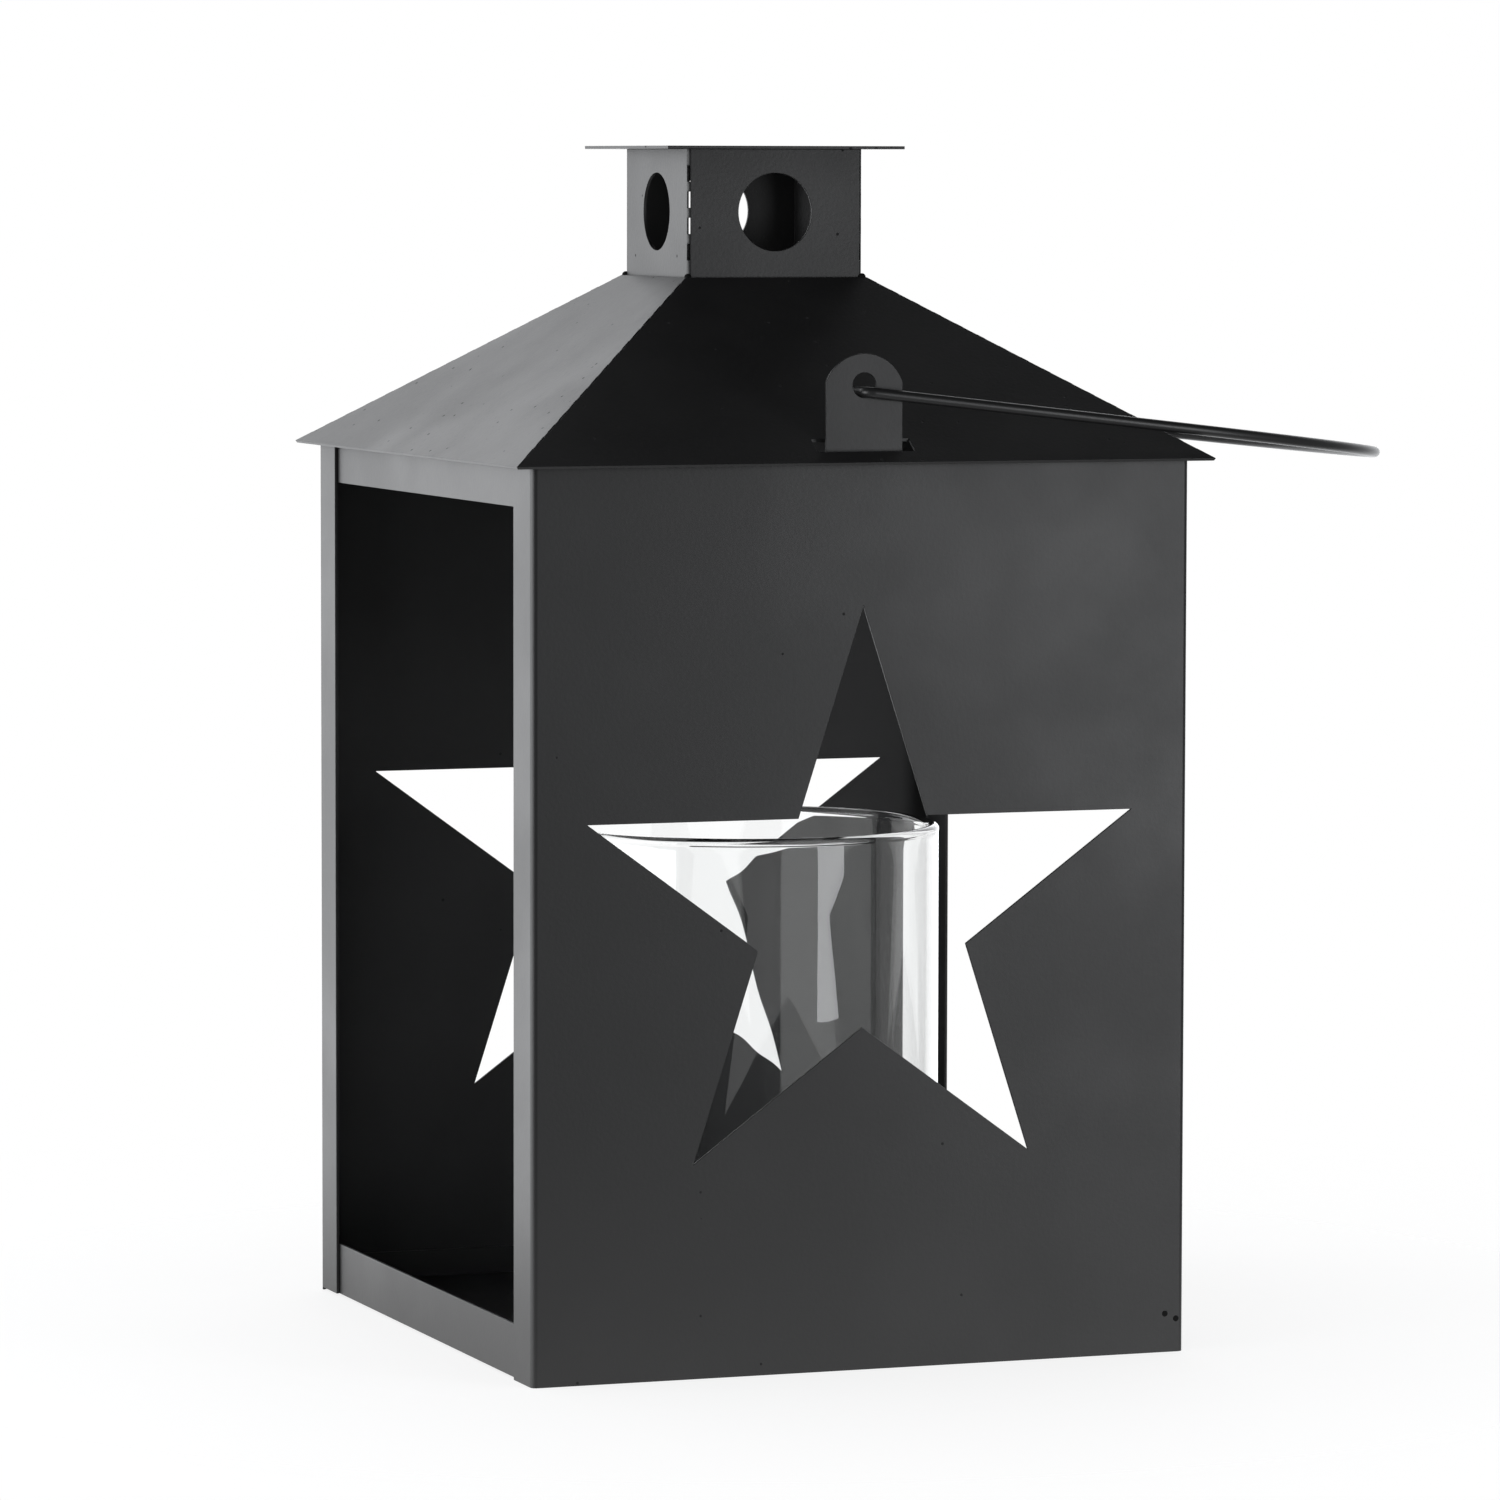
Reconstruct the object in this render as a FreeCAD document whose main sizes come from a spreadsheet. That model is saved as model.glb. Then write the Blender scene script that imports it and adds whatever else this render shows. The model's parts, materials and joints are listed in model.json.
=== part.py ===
import FreeCAD, Part
import math
import os
import Sketcher

# A square lantern of folded sheet steel. The origin is the middle of the base, on the table.
# X runs to the right along the front star panel, Y runs to the rear and Z runs up.

# Driving dimensions, in millimetres and degrees
SIZES = [
    ("sheet", 0.8, "thickness of the sheet steel"),
    ("bend", 0.8, "inside radius of the folds"),
    ("lap_gap", 0.1, "play between two sheets that lie on each other"),
    ("seat_gap", 0.1, "play between the roof and what it rests on"),
    ("overrun", 2.0, "how far a cut runs past the sheet"),
    ("body_width", 178.0, "width of the square body over its frames and star panels"),
    ("window_bottom", 14.4, "height of the lower edge of a side window"),
    ("window_top", 221.8, "height of the upper edge of a side window"),
    ("stile_width", 14.5, "width of the stile beside the folded corner"),
    ("far_stile_width", 12.0, "width of the stile under the flange"),
    ("flange_width", 14.3, "width of the flange that laps over the far stile"),
    ("foot_gap", 0.7, "height of the lower rail and of the flange above the table"),
    ("star_radius", 78.0, "radius to the points of the star"),
    ("star_height", 118.0, "height of the centre of the star"),
    ("star_points", 5, "number of points of the star"),
    ("ear_width", 20.8, "width of an ear"),
    ("ear_top", 260.0, "height of the top of an ear"),
    ("ear_crown", 7.2, "height of the rounded part of an ear"),
    ("ear_hole", 6.4, "bore of the hole in an ear"),
    ("ear_hole_drop", 8.0, "distance from the top of an ear to the centre of that hole"),
    ("roof_overhang", 5.9, "how far the eaves stand out from the body"),
    ("roof_pitch", 33.3, "slope of the roof, in degrees"),
    ("eave_height", 232.6, "height of the roof's upper face at the eaves"),
    ("slot_width", 26.6, "length of a roof slot along the wall"),
    ("slot_outside", 1.8, "how far a roof slot reaches out from the wall"),
    ("slot_inside", 2.1, "how far a roof slot reaches in from the wall"),
    ("slit_length", 4.2, "length of a slit in a perforated fold"),
    ("slit_width", 0.9, "width of a slit in a fold of the chimney"),
    ("hip_slit_width", 0.4, "width of a slit in a hip"),
    ("slit_pitch", 6.8, "distance from one slit to the next"),
    ("hip_slits", 15, "number of slits along a hip"),
    ("hip_slit_start", 8.0, "distance from the eave corner to the middle of the first slit"),
    ("chimney_slits", 4, "number of slits along a corner of the chimney"),
    ("chimney_slit_start", 6.6, "height of the middle of the first slit above the neck"),
    ("chimney_width", 48.6, "width of the square chimney"),
    ("chimney_rise", 33.4, "height of the chimney above the neck"),
    ("chimney_bend", 0.2, "inside radius of the perforated folds of the chimney"),
    ("neck_gap", 0.5, "play of the chimney in the neck of the roof"),
    ("vent", 20.4, "bore of a chimney vent"),
    ("vent_rise", 17.0, "height of the vents above the neck"),
    ("flap_width", 7.0, "width of the flaps under the cap"),
    ("tab_width", 16.0, "width of a chimney tab"),
    ("tab_length", 6.0, "length of a chimney tab along the roof"),
    ("cap_width", 65.8, "width of the square cap"),
    ("wire", 2.8, "diameter of the wire of the bail"),
    ("wire_bend", 2.2, "radius of the hooks at the middle of the wire"),
    ("wire_end", 0.5, "rounding of the ends of the wire"),
    ("wire_gap", 0.4, "play between a leg of the bail and an ear"),
    ("wire_play", 0.05, "play under the wire in the hole of an ear"),
    ("hook_length", 5.6, "how far a hook reaches past the inside of an ear"),
    ("leg_length", 85.0, "length of the straight legs, from the holes of the ears"),
    ("bail_angle", 6.5, "slope of the resting bail below the horizontal, in degrees"),
    ("floor_flange", 8.0, "height of the upturned edges of the floor"),
    ("floor_notch", 3.0, "width of the notches at the corners of the floor"),
    ("seat_depth", 1.5, "depth of the pressed seat of the glass, whose underside stands on the table"),
    ("seat_play", 4.0, "play of the glass in its seat"),
    ("seat_slope", 1.2, "width of the sloping step round the seat"),
    ("glass_width", 104.6, "outside diameter of the glass"),
    ("glass_wall", 3.0, "thickness of the wall of the glass"),
    ("glass_base", 5.0, "thickness of the bottom of the glass"),
    ("glass_length", 132.4, "height of the glass"),
    ("glass_heel", 4.0, "outside radius at the bottom of the glass"),
    ("glass_well", 2.0, "inside radius at the bottom of the glass"),
    ("glass_rim", 1.3, "rounding of the melted rim"),
    ("glass_gap", 0.3, "play under the glass"),
]

# Lengths that follow from them and that several pieces use
FOLLOWING = [
    ("half", "body_width / 2"),
    ("lap", "sheet + lap_gap"),
    ("frame_end", "half - lap - bend"),
    ("pitch_rise", "tan(roof_pitch * 1 deg)"),
    ("sheet_across", "sheet * sin(roof_pitch * 1 deg)"),
    ("sheet_down", "sheet * cos(roof_pitch * 1 deg)"),
    ("sheet_upright", "sheet / cos(roof_pitch * 1 deg)"),
    ("eave_half", "half + roof_overhang"),
    ("chimney_half", "chimney_width / 2"),
    ("neck_half", "chimney_half + neck_gap + sheet_across"),
    ("roof_rise", "(eave_half - neck_half) * pitch_rise"),
    ("neck_height", "eave_height + roof_rise"),
    ("wall_top", "eave_height + (roof_overhang - lap) * pitch_rise - sheet_upright - seat_gap"),
    ("star_step", "180 / star_points"),
    ("star_notch", "star_radius * cos(2 * star_step * 1 deg) / cos(star_step * 1 deg)"),
    ("ear_radius", "(ear_width ^ 2 / 4 + ear_crown ^ 2) / (2 * ear_crown)"),
    ("ear_hole_height", "ear_top - ear_hole_drop"),
    ("pin_height", "ear_hole_height - ear_hole / 2 + wire / 2 + wire_play"),
    ("leg_place", "half + wire_gap + wire / 2"),
    ("hook_place", "half - sheet - hook_length"),
    ("tab_height", "(neck_half - chimney_half) * pitch_rise - sheet_upright - lap_gap"),
    ("floor_half", "half - lap"),
    ("floor_height", "seat_depth"),
    ("seat_radius", "glass_width / 2 + seat_play"),
    ("glass_radius", "glass_width / 2"),
    ("glass_foot", "floor_height + sheet - seat_depth + glass_gap"),
]

doc = FreeCAD.newDocument("lantern")
table = doc.addObject("Spreadsheet::Sheet", "sizes")
rows = [(alias, str(value), note) for alias, value, note in SIZES]
rows += [(alias, "=" + formula, "follows from the sizes above") for alias, formula in FOLLOWING]
for row, (alias, value, note) in enumerate(rows, start=1):
    table.set("A%d" % row, alias)
    table.set("B%d" % row, value)
    table.setAlias("B%d" % row, alias)
    table.set("C%d" % row, note)
doc.recompute()


def number(text):
    """value of an expression, in millimetres or degrees"""
    value = table.evalExpression(text)
    return float(getattr(value, "Value", value))


def origin_item(body, role):
    return next(item for item in body.Origin.OriginFeatures if item.Role == role)


def new_body(name, height="0"):
    """piece of the lantern, raised to its height above the table"""
    body = doc.addObject("PartDesign::Body", name)
    body.Label = name
    body.setExpression("Placement.Base.z", height)
    return body


def new_sketch(body, name, role, lift="0", turn="0"):
    """sketch on a plane of the body, lifted along its normal and turned about the upright axis"""
    sketch = body.newObject("Sketcher::SketchObject", name)
    sketch.AttachmentSupport = [(origin_item(body, role), "")]
    sketch.MapMode = "FlatFace"
    sketch.setExpression("AttachmentOffset.Base.z", lift)
    if turn != "0":
        sketch.AttachmentOffset = FreeCAD.Placement(FreeCAD.Vector(), FreeCAD.Rotation(FreeCAD.Vector(0, 1, 0), 1))
        sketch.setExpression("AttachmentOffset.Rotation.Angle", turn)
    return sketch


def bind(sketch, constraint, text):
    """add a constraint whose value is an expression"""
    index = sketch.addConstraint(constraint)
    sketch.setExpression("Constraints[%d]" % index, text)


def hold_point(sketch, edge, end, across, up):
    """fix one point of a sketch at a place given by two expressions"""
    bind(sketch, Sketcher.Constraint("DistanceX", -1, 1, edge, end, number(across)), across)
    bind(sketch, Sketcher.Constraint("DistanceY", -1, 1, edge, end, number(up)), up)


def place(across, up):
    return FreeCAD.Vector(number(across), number(up), 0)


def draw_line(sketch, start, end):
    """straight edge between two held points"""
    edge = sketch.addGeometry(Part.LineSegment(place(*start), place(*end)))
    hold_point(sketch, edge, 1, *start)
    hold_point(sketch, edge, 2, *end)
    return edge


def draw_outline(sketch, corners):
    """closed outline of straight edges through the corners"""
    edges = []
    for index, corner in enumerate(corners):
        after = corners[(index + 1) % len(corners)]
        edges.append(sketch.addGeometry(Part.LineSegment(place(*corner), place(*after))))
        hold_point(sketch, edges[-1], 1, *corner)
    for index, edge in enumerate(edges):
        after = edges[(index + 1) % len(edges)]
        sketch.addConstraint(Sketcher.Constraint("Coincident", edge, 2, after, 1))


def draw_box(sketch, left, right, low, high):
    draw_outline(sketch, [(left, low), (right, low), (right, high), (left, high)])


def draw_square(sketch, half):
    draw_box(sketch, "-(%s)" % half, half, "-(%s)" % half, half)


def draw_circle(sketch, across, up, radius):
    edge = sketch.addGeometry(Part.Circle(place(across, up), FreeCAD.Vector(0, 0, 1), number(radius)))
    hold_point(sketch, edge, 3, across, up)
    bind(sketch, Sketcher.Constraint("Radius", edge, number(radius)), radius)


def draw_arc(sketch, start, through, end, before, after, direction, centre):
    """arc from the end of one straight edge to the start of the next, its centre held in one direction"""
    arc = sketch.addGeometry(Part.Arc(place(*start), place(*through), place(*end)))
    apart = [(sketch.getPoint(arc, side) - place(*start)).Length for side in (1, 2)]
    first, last = (1, 2) if apart[0] < apart[1] else (2, 1)
    sketch.addConstraint(Sketcher.Constraint("Coincident", before, 2, arc, first))
    sketch.addConstraint(Sketcher.Constraint("Coincident", arc, last, after, 1))
    bind(sketch, Sketcher.Constraint(direction, -1, 1, arc, 3, number(centre)), centre)


def finish(feature):
    """recompute one new feature and stop where it has failed"""
    doc.recompute()
    if "Invalid" in feature.State or "Error" in feature.State or feature.Shape.isNull():
        raise RuntimeError("%s has failed" % feature.Name)
    return feature


def pad(body, sketch, name, length, side="One side", reverse=False):
    feature = body.newObject("PartDesign::Pad", name)
    feature.Profile = sketch
    feature.SideType = side
    feature.Reversed = reverse
    feature.setExpression("Length", length)
    return finish(feature)


def cut(body, sketch, name, length=None, side="One side", reverse=False):
    """pocket that has to take material away, through everything where it has no length"""
    before = body.Shape.Volume
    feature = body.newObject("PartDesign::Pocket", name)
    feature.Profile = sketch
    feature.SideType = side
    feature.Reversed = reverse
    if length is None:
        feature.Type = "ThroughAll"
    else:
        feature.setExpression("Length", length)
    finish(feature)
    if body.Shape.Volume >= before:
        raise RuntimeError("%s takes nothing away from %s" % (name, body.Label))
    return feature


def loft(body, kind, name, sketches):
    feature = body.newObject("PartDesign::%sLoft" % kind, name)
    feature.Profile = sketches[0]
    feature.Sections = sketches[1:]
    feature.Ruled = True
    return finish(feature)


def round_edges(body, name, chosen, radius):
    """fillet the edges whose two ends, or whose circle, the test accepts"""
    base = body.Tip
    names = ["Edge%d" % index for index, edge in enumerate(base.Shape.Edges, start=1) if chosen(edge)]
    feature = body.newObject("PartDesign::Fillet", name)
    feature.Base = (base, names)
    feature.setExpression("Radius", radius)
    return finish(feature)


def upright_at(across, back):
    """test for an upright edge over one place of the plan"""
    spot = place(across, back)
    reach = number("sizes.lap_gap") / 2

    def chosen(edge):
        ends = [FreeCAD.Vector(vertex.Point.x, vertex.Point.y, 0) for vertex in edge.Vertexes]
        return len(ends) == 2 and all((end - spot).Length < reach for end in ends)

    return chosen


def repeat_round(body, originals, name):
    """the same features at all four sides"""
    feature = body.newObject("PartDesign::PolarPattern", name)
    feature.Originals = originals
    feature.Axis = (origin_item(body, "Z_Axis"), [""])
    feature.Angle = 360
    feature.Occurrences = 4
    body.Tip = feature
    return finish(feature)


def repeat_slits(body, slit, name, direction, count, folds=4):
    """a row of slits along a fold, and the same row at the folds that follow, a quarter turn apart"""
    before = body.Shape.Volume
    feature = body.newObject("PartDesign::MultiTransform", name)
    along = doc.addObject("PartDesign::LinearPattern", name + "_along")
    along.Direction = direction
    along.Mode = "Spacing"
    along.setExpression("Occurrences", count)
    along.setExpression("Offset", "sizes.slit_pitch")
    around = doc.addObject("PartDesign::PolarPattern", name + "_around")
    around.Axis = (origin_item(body, "Z_Axis"), [""])
    around.Mode = "Spacing"
    around.Offset = 90
    around.Occurrences = folds
    feature.Originals = [slit]
    feature.Transformations = [along, around]
    body.Tip = feature
    finish(feature)
    if body.Shape.Volume >= before:
        raise RuntimeError("%s takes nothing away from %s" % (name, body.Label))
    return feature


def make_wall(name, turn):
    """star panel, window frame and flange, folded from one sheet"""
    body = new_body(name)
    body.Placement = FreeCAD.Placement(FreeCAD.Vector(), FreeCAD.Rotation(FreeCAD.Vector(0, 0, 1), turn))
    plan = new_sketch(body, name + "_plan", "XY_Plane")
    draw_outline(plan, [
        ("-sizes.half", "sizes.frame_end"),
        ("-sizes.half", "-sizes.half"),
        ("sizes.half + sizes.lap", "-sizes.half"),
        ("sizes.half + sizes.lap", "sizes.flange_width - sizes.half"),
        ("sizes.half + sizes.lap_gap", "sizes.flange_width - sizes.half"),
        ("sizes.half + sizes.lap_gap", "sizes.sheet - sizes.half"),
        ("sizes.sheet - sizes.half", "sizes.sheet - sizes.half"),
        ("sizes.sheet - sizes.half", "sizes.frame_end"),
    ])
    pad(body, plan, name + "_folded_sheet", "sizes.wall_top")
    outside = [("-sizes.half", "-sizes.half"), ("sizes.half + sizes.lap", "-sizes.half")]
    for index, (across, back) in enumerate(outside):
        round_edges(body, "%s_outside_%d" % (name, index), upright_at(across, back), "sizes.sheet + sizes.bend")
    inside = [("sizes.sheet - sizes.half", "sizes.sheet - sizes.half"),
              ("sizes.half + sizes.lap_gap", "sizes.sheet - sizes.half")]
    for index, (across, back) in enumerate(inside):
        round_edges(body, "%s_inside_%d" % (name, index), upright_at(across, back), "sizes.bend")

    star = new_sketch(body, name + "_star_outline", "XZ_Plane")
    points = []
    for corner in range(2 * round(number("sizes.star_points"))):
        radius = "sizes.star_notch" if corner % 2 else "sizes.star_radius"
        turn_here = "(%d * sizes.star_step * 1 deg)" % corner
        points.append(("%s * sin%s" % (radius, turn_here),
                       "sizes.star_height + %s * cos%s" % (radius, turn_here)))
    draw_outline(star, points)
    cut(body, star, name + "_star", reverse=True)

    window = new_sketch(body, name + "_window_outline", "YZ_Plane")
    draw_box(window, "sizes.stile_width - sizes.half", "sizes.half - sizes.far_stile_width",
             "sizes.window_bottom", "sizes.window_top")
    cut(body, window, name + "_window")
    for part, near, far, side in (
        ("rail", "sizes.stile_width - sizes.half", "sizes.half + sizes.overrun", False),
        ("flange", "sizes.sheet + sizes.bend - sizes.half", "sizes.flange_width - sizes.half + sizes.overrun", True),
    ):
        foot = new_sketch(body, "%s_%s_foot_outline" % (name, part), "YZ_Plane")
        draw_box(foot, near, far, "-sizes.overrun", "sizes.foot_gap")
        cut(body, foot, "%s_%s_foot" % (name, part), reverse=side)

    ear = new_sketch(body, name + "_ear_outline", "XZ_Plane", "sizes.half - sizes.sheet")
    left, right = "-sizes.ear_width / 2", "sizes.ear_width / 2"
    low, shoulder = "sizes.wall_top - sizes.overrun", "sizes.ear_top - sizes.ear_crown"
    up_right = draw_line(ear, (right, low), (right, shoulder))
    down_left = draw_line(ear, (left, shoulder), (left, low))
    draw_arc(ear, (right, shoulder), ("0", "sizes.ear_top"), (left, shoulder), up_right, down_left,
             "DistanceY", "sizes.ear_top - sizes.ear_radius")
    draw_line(ear, (left, low), (right, low))
    pad(body, ear, name + "_ear", "sizes.sheet")
    hole = new_sketch(body, name + "_ear_hole_outline", "XZ_Plane")
    draw_circle(hole, "0", "sizes.ear_hole_height", "sizes.ear_hole / 2")
    cut(body, hole, name + "_ear_hole", reverse=True)
    return body


def make_floor():
    """tray with upturned edges and a pressed round seat"""
    body = new_body("floor_pan", "sizes.floor_height")
    outline = new_sketch(body, "floor_outline", "XY_Plane")
    draw_square(outline, "sizes.floor_half")
    pad(body, outline, "floor_block", "sizes.floor_flange")
    inner = new_sketch(body, "floor_inner_outline", "XY_Plane", "sizes.sheet")
    draw_square(inner, "(sizes.floor_half - sizes.sheet)")
    cut(body, inner, "floor_hollow", reverse=True)
    notch = new_sketch(body, "floor_notch_outline", "XY_Plane")
    draw_box(notch, "sizes.floor_half - sizes.floor_notch", "sizes.floor_half + sizes.overrun",
             "sizes.floor_half - sizes.floor_notch", "sizes.floor_half + sizes.overrun")
    first = cut(body, notch, "floor_notch_cut", reverse=True)
    repeat_round(body, [first], "floor_notches")

    opening = new_sketch(body, "seat_opening_outline", "XY_Plane")
    draw_circle(opening, "0", "0", "sizes.seat_radius + sizes.seat_slope")
    cut(body, opening, "seat_opening", reverse=True)
    section = new_sketch(body, "seat_section", "XZ_Plane")
    edge, rim = "sizes.seat_radius + sizes.seat_slope", "sizes.seat_radius + sizes.seat_slope + sizes.overrun"
    draw_outline(section, [
        ("0", "-sizes.seat_depth"),
        ("sizes.seat_radius", "-sizes.seat_depth"),
        (edge, "0"),
        (rim, "0"),
        (rim, "sizes.sheet"),
        (edge, "sizes.sheet"),
        ("sizes.seat_radius", "sizes.sheet - sizes.seat_depth"),
        ("0", "sizes.sheet - sizes.seat_depth"),
    ])
    seat = body.newObject("PartDesign::Revolution", "seat")
    seat.Profile = section
    seat.ReferenceAxis = (section, ["V_Axis"])
    seat.Angle = 360
    finish(seat)
    return body


def make_roof():
    """hipped sheet with a square neck, two slots and four perforated folds"""
    body = new_body("roof", "sizes.eave_height")
    levels = {}
    for name, half, height in (
        ("eave_under", "(sizes.eave_half - sizes.sheet_across)", "-sizes.sheet_down"),
        ("eave_over", "sizes.eave_half", "0"),
        ("neck_over", "sizes.neck_half", "sizes.roof_rise"),
        ("neck_under", "(sizes.neck_half - sizes.sheet_across)", "sizes.roof_rise - sizes.sheet_down"),
    ):
        levels[name] = new_sketch(body, "roof_" + name, "XY_Plane", height)
        draw_square(levels[name], half)
    loft(body, "Additive", "roof_outside", [levels["eave_under"], levels["eave_over"], levels["neck_over"]])
    loft(body, "Subtractive", "roof_inside", [levels["eave_under"], levels["neck_under"], levels["neck_over"]])

    slots = new_sketch(body, "slot_outlines", "XY_Plane")
    outer, inner = "(sizes.half + sizes.slot_outside)", "(sizes.half - sizes.sheet - sizes.slot_inside)"
    for low, high in (("-" + outer, "-" + inner), (inner, outer)):
        draw_box(slots, "-sizes.slot_width / 2", "sizes.slot_width / 2", low, high)
    cut(body, slots, "ear_slots", reverse=True)

    # In the upright plane through a hip, the hip rises from the eave's corner towards the neck
    row = new_sketch(body, "hip_slit_outline", "XZ_Plane", turn="45")
    slope = "atan(sizes.pitch_rise / sqrt(2))"
    corner = "sizes.eave_half * sqrt(2)"
    near, far = "(sizes.hip_slit_start - sizes.slit_length / 2)", "(sizes.hip_slit_start + sizes.slit_length / 2)"
    box = []
    for along, lift in ((near, "-sizes.overrun"), (far, "-sizes.overrun"), (far, "sizes.overrun"),
                        (near, "sizes.overrun")):
        box.append(("%s - %s * cos(%s) + %s * sin(%s)" % (corner, along, slope, lift, slope),
                    "%s * sin(%s) + %s * cos(%s)" % (along, slope, lift, slope)))
    draw_outline(row, box)
    guide = row.addGeometry(Part.LineSegment(place(corner, "0"), place("0", corner + " * tan(" + slope + ")")), True)
    hold_point(row, guide, 1, corner, "0")
    hold_point(row, guide, 2, "0", corner + " * tan(" + slope + ")")
    slit = cut(body, row, "hip_slit", "sizes.hip_slit_width", side="Symmetric")
    repeat_slits(body, slit, "hip_slits", (row, ["Axis0"]), "sizes.hip_slits")
    return body


def make_chimney():
    """square tube with vents, flaps under the cap, tabs under the roof and perforated folds"""
    body = new_body("chimney", "sizes.neck_height")
    outline = new_sketch(body, "chimney_outline", "XY_Plane", "sizes.tab_height")
    draw_square(outline, "sizes.chimney_half")
    draw_square(outline, "(sizes.chimney_half - sizes.sheet)")
    pad(body, outline, "chimney_tube", "sizes.chimney_rise - sizes.tab_height")
    for side, half, radius in (("outside", "sizes.chimney_half", "sizes.sheet + sizes.chimney_bend"),
                               ("inside", "(sizes.chimney_half - sizes.sheet)", "sizes.chimney_bend")):
        tests = [upright_at(x, y) for x in (half, "-" + half) for y in (half, "-" + half)]
        round_edges(body, "chimney_" + side, lambda edge: any(test(edge) for test in tests), radius)

    flaps = new_sketch(body, "flap_outline", "XY_Plane", "sizes.chimney_rise - sizes.sheet")
    draw_square(flaps, "(sizes.chimney_half - sizes.sheet / 2)")
    draw_square(flaps, "(sizes.chimney_half - sizes.flap_width)")
    pad(body, flaps, "flaps", "sizes.sheet")
    mitre = new_sketch(body, "mitre_outline", "XZ_Plane", turn="45")
    draw_box(mitre, "(sizes.chimney_half - sizes.flap_width) * sqrt(2) - sizes.overrun",
             "(sizes.chimney_half - sizes.sheet) * sqrt(2)",
             "sizes.chimney_rise - sizes.overrun", "sizes.chimney_rise + sizes.overrun")
    first = cut(body, mitre, "mitre", "sizes.slit_width", side="Symmetric")
    repeat_round(body, [first], "mitres")

    tab = new_sketch(body, "tab_section", "XZ_Plane")
    angle = "(sizes.roof_pitch * 1 deg)"
    end_across = "sizes.chimney_half + sizes.tab_length * cos(%s)" % angle
    end_up = "sizes.tab_height - sizes.tab_length * sin(%s)" % angle
    draw_outline(tab, [
        ("sizes.chimney_half", "sizes.tab_height"),
        (end_across, end_up),
        (end_across + " - sizes.sheet_across", end_up + " - sizes.sheet_down"),
        ("sizes.chimney_half - sizes.sheet",
         "sizes.tab_height + sizes.sheet * sizes.pitch_rise - sizes.sheet_upright"),
        ("sizes.chimney_half - sizes.sheet", "sizes.tab_height + sizes.overrun"),
        ("sizes.chimney_half", "sizes.tab_height + sizes.overrun"),
    ])
    first = pad(body, tab, "tab", "sizes.tab_width", side="Symmetric")
    repeat_round(body, [first], "tabs")

    for role in ("XZ_Plane", "YZ_Plane"):
        vent = new_sketch(body, "vent_" + role, role)
        draw_circle(vent, "0", "sizes.vent_rise", "sizes.vent / 2")
        cut(body, vent, "vents_" + role, side="Symmetric")

    # The fold at the rear right is the closed joint of the tube and has no slits
    row = new_sketch(body, "chimney_slit_outline", "XZ_Plane", turn="135")
    draw_box(row, "(sizes.chimney_half - sizes.sheet) * sqrt(2) - sizes.overrun",
             "sizes.chimney_half * sqrt(2) + sizes.overrun",
             "sizes.chimney_slit_start - sizes.slit_length / 2",
             "sizes.chimney_slit_start + sizes.slit_length / 2")
    slit = cut(body, row, "chimney_slit", "sizes.slit_width", side="Symmetric")
    repeat_slits(body, slit, "chimney_slits", (row, ["V_Axis"]), "sizes.chimney_slits", folds=3)
    return body


def make_cap():
    body = new_body("chimney_cap", "sizes.neck_height + sizes.chimney_rise")
    outline = new_sketch(body, "cap_outline", "XY_Plane")
    draw_square(outline, "sizes.cap_width / 2")
    pad(body, outline, "cap_plate", "sizes.sheet")
    return body


def make_bail():
    """wire with a hook at each end, drawn flat and then laid over to the right"""
    body = new_body("bail_handle", "sizes.pin_height")
    body.Placement = FreeCAD.Placement(FreeCAD.Vector(), FreeCAD.Rotation(FreeCAD.Vector(0, 1, 0), 1))
    body.setExpression("Placement.Rotation.Angle", "sizes.bail_angle")
    path = new_sketch(body, "bail_path", "XY_Plane")
    bend_share = "(1 - sqrt(0.5))"
    turn_place = "(sizes.leg_place - sizes.wire_bend)"
    pins, legs = {}, {}
    for sign in ("-", ""):
        hook, turn, leg = sign + "sizes.hook_place", sign + turn_place, sign + "sizes.leg_place"
        start, end = ("0", hook), ("0", turn)
        near, far = ("sizes.wire_bend", leg), ("sizes.leg_length", leg)
        middle = ("sizes.wire_bend * " + bend_share, "%s(sizes.leg_place - sizes.wire_bend * %s)" % (sign, bend_share))
        if sign:
            pins[sign], legs[sign] = draw_line(path, start, end), draw_line(path, near, far)
            draw_arc(path, end, middle, near, pins[sign], legs[sign], "DistanceX", "sizes.wire_bend")
        else:
            legs[sign], pins[sign] = draw_line(path, far, near), draw_line(path, end, start)
            draw_arc(path, near, middle, end, legs[sign], pins[sign], "DistanceX", "sizes.wire_bend")
    draw_arc(path, ("sizes.leg_length", "-sizes.leg_place"), ("sizes.leg_length + sizes.leg_place", "0"),
             ("sizes.leg_length", "sizes.leg_place"), legs["-"], legs[""], "DistanceX", "sizes.leg_length")
    section = new_sketch(body, "bail_section", "XZ_Plane", "sizes.hook_place")
    draw_circle(section, "0", "0", "sizes.wire / 2")
    wire = body.newObject("PartDesign::AdditivePipe", "bail_wire")
    wire.Profile = section
    wire.Spine = path
    finish(wire)
    reach = number("sizes.wire_play")

    def is_end(edge):
        return (len(edge.Vertexes) == 1
                and abs(abs(edge.CenterOfMass.y) - number("sizes.hook_place")) < reach)

    round_edges(body, "bail_ends", is_end, "sizes.wire_end")
    return body


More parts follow.
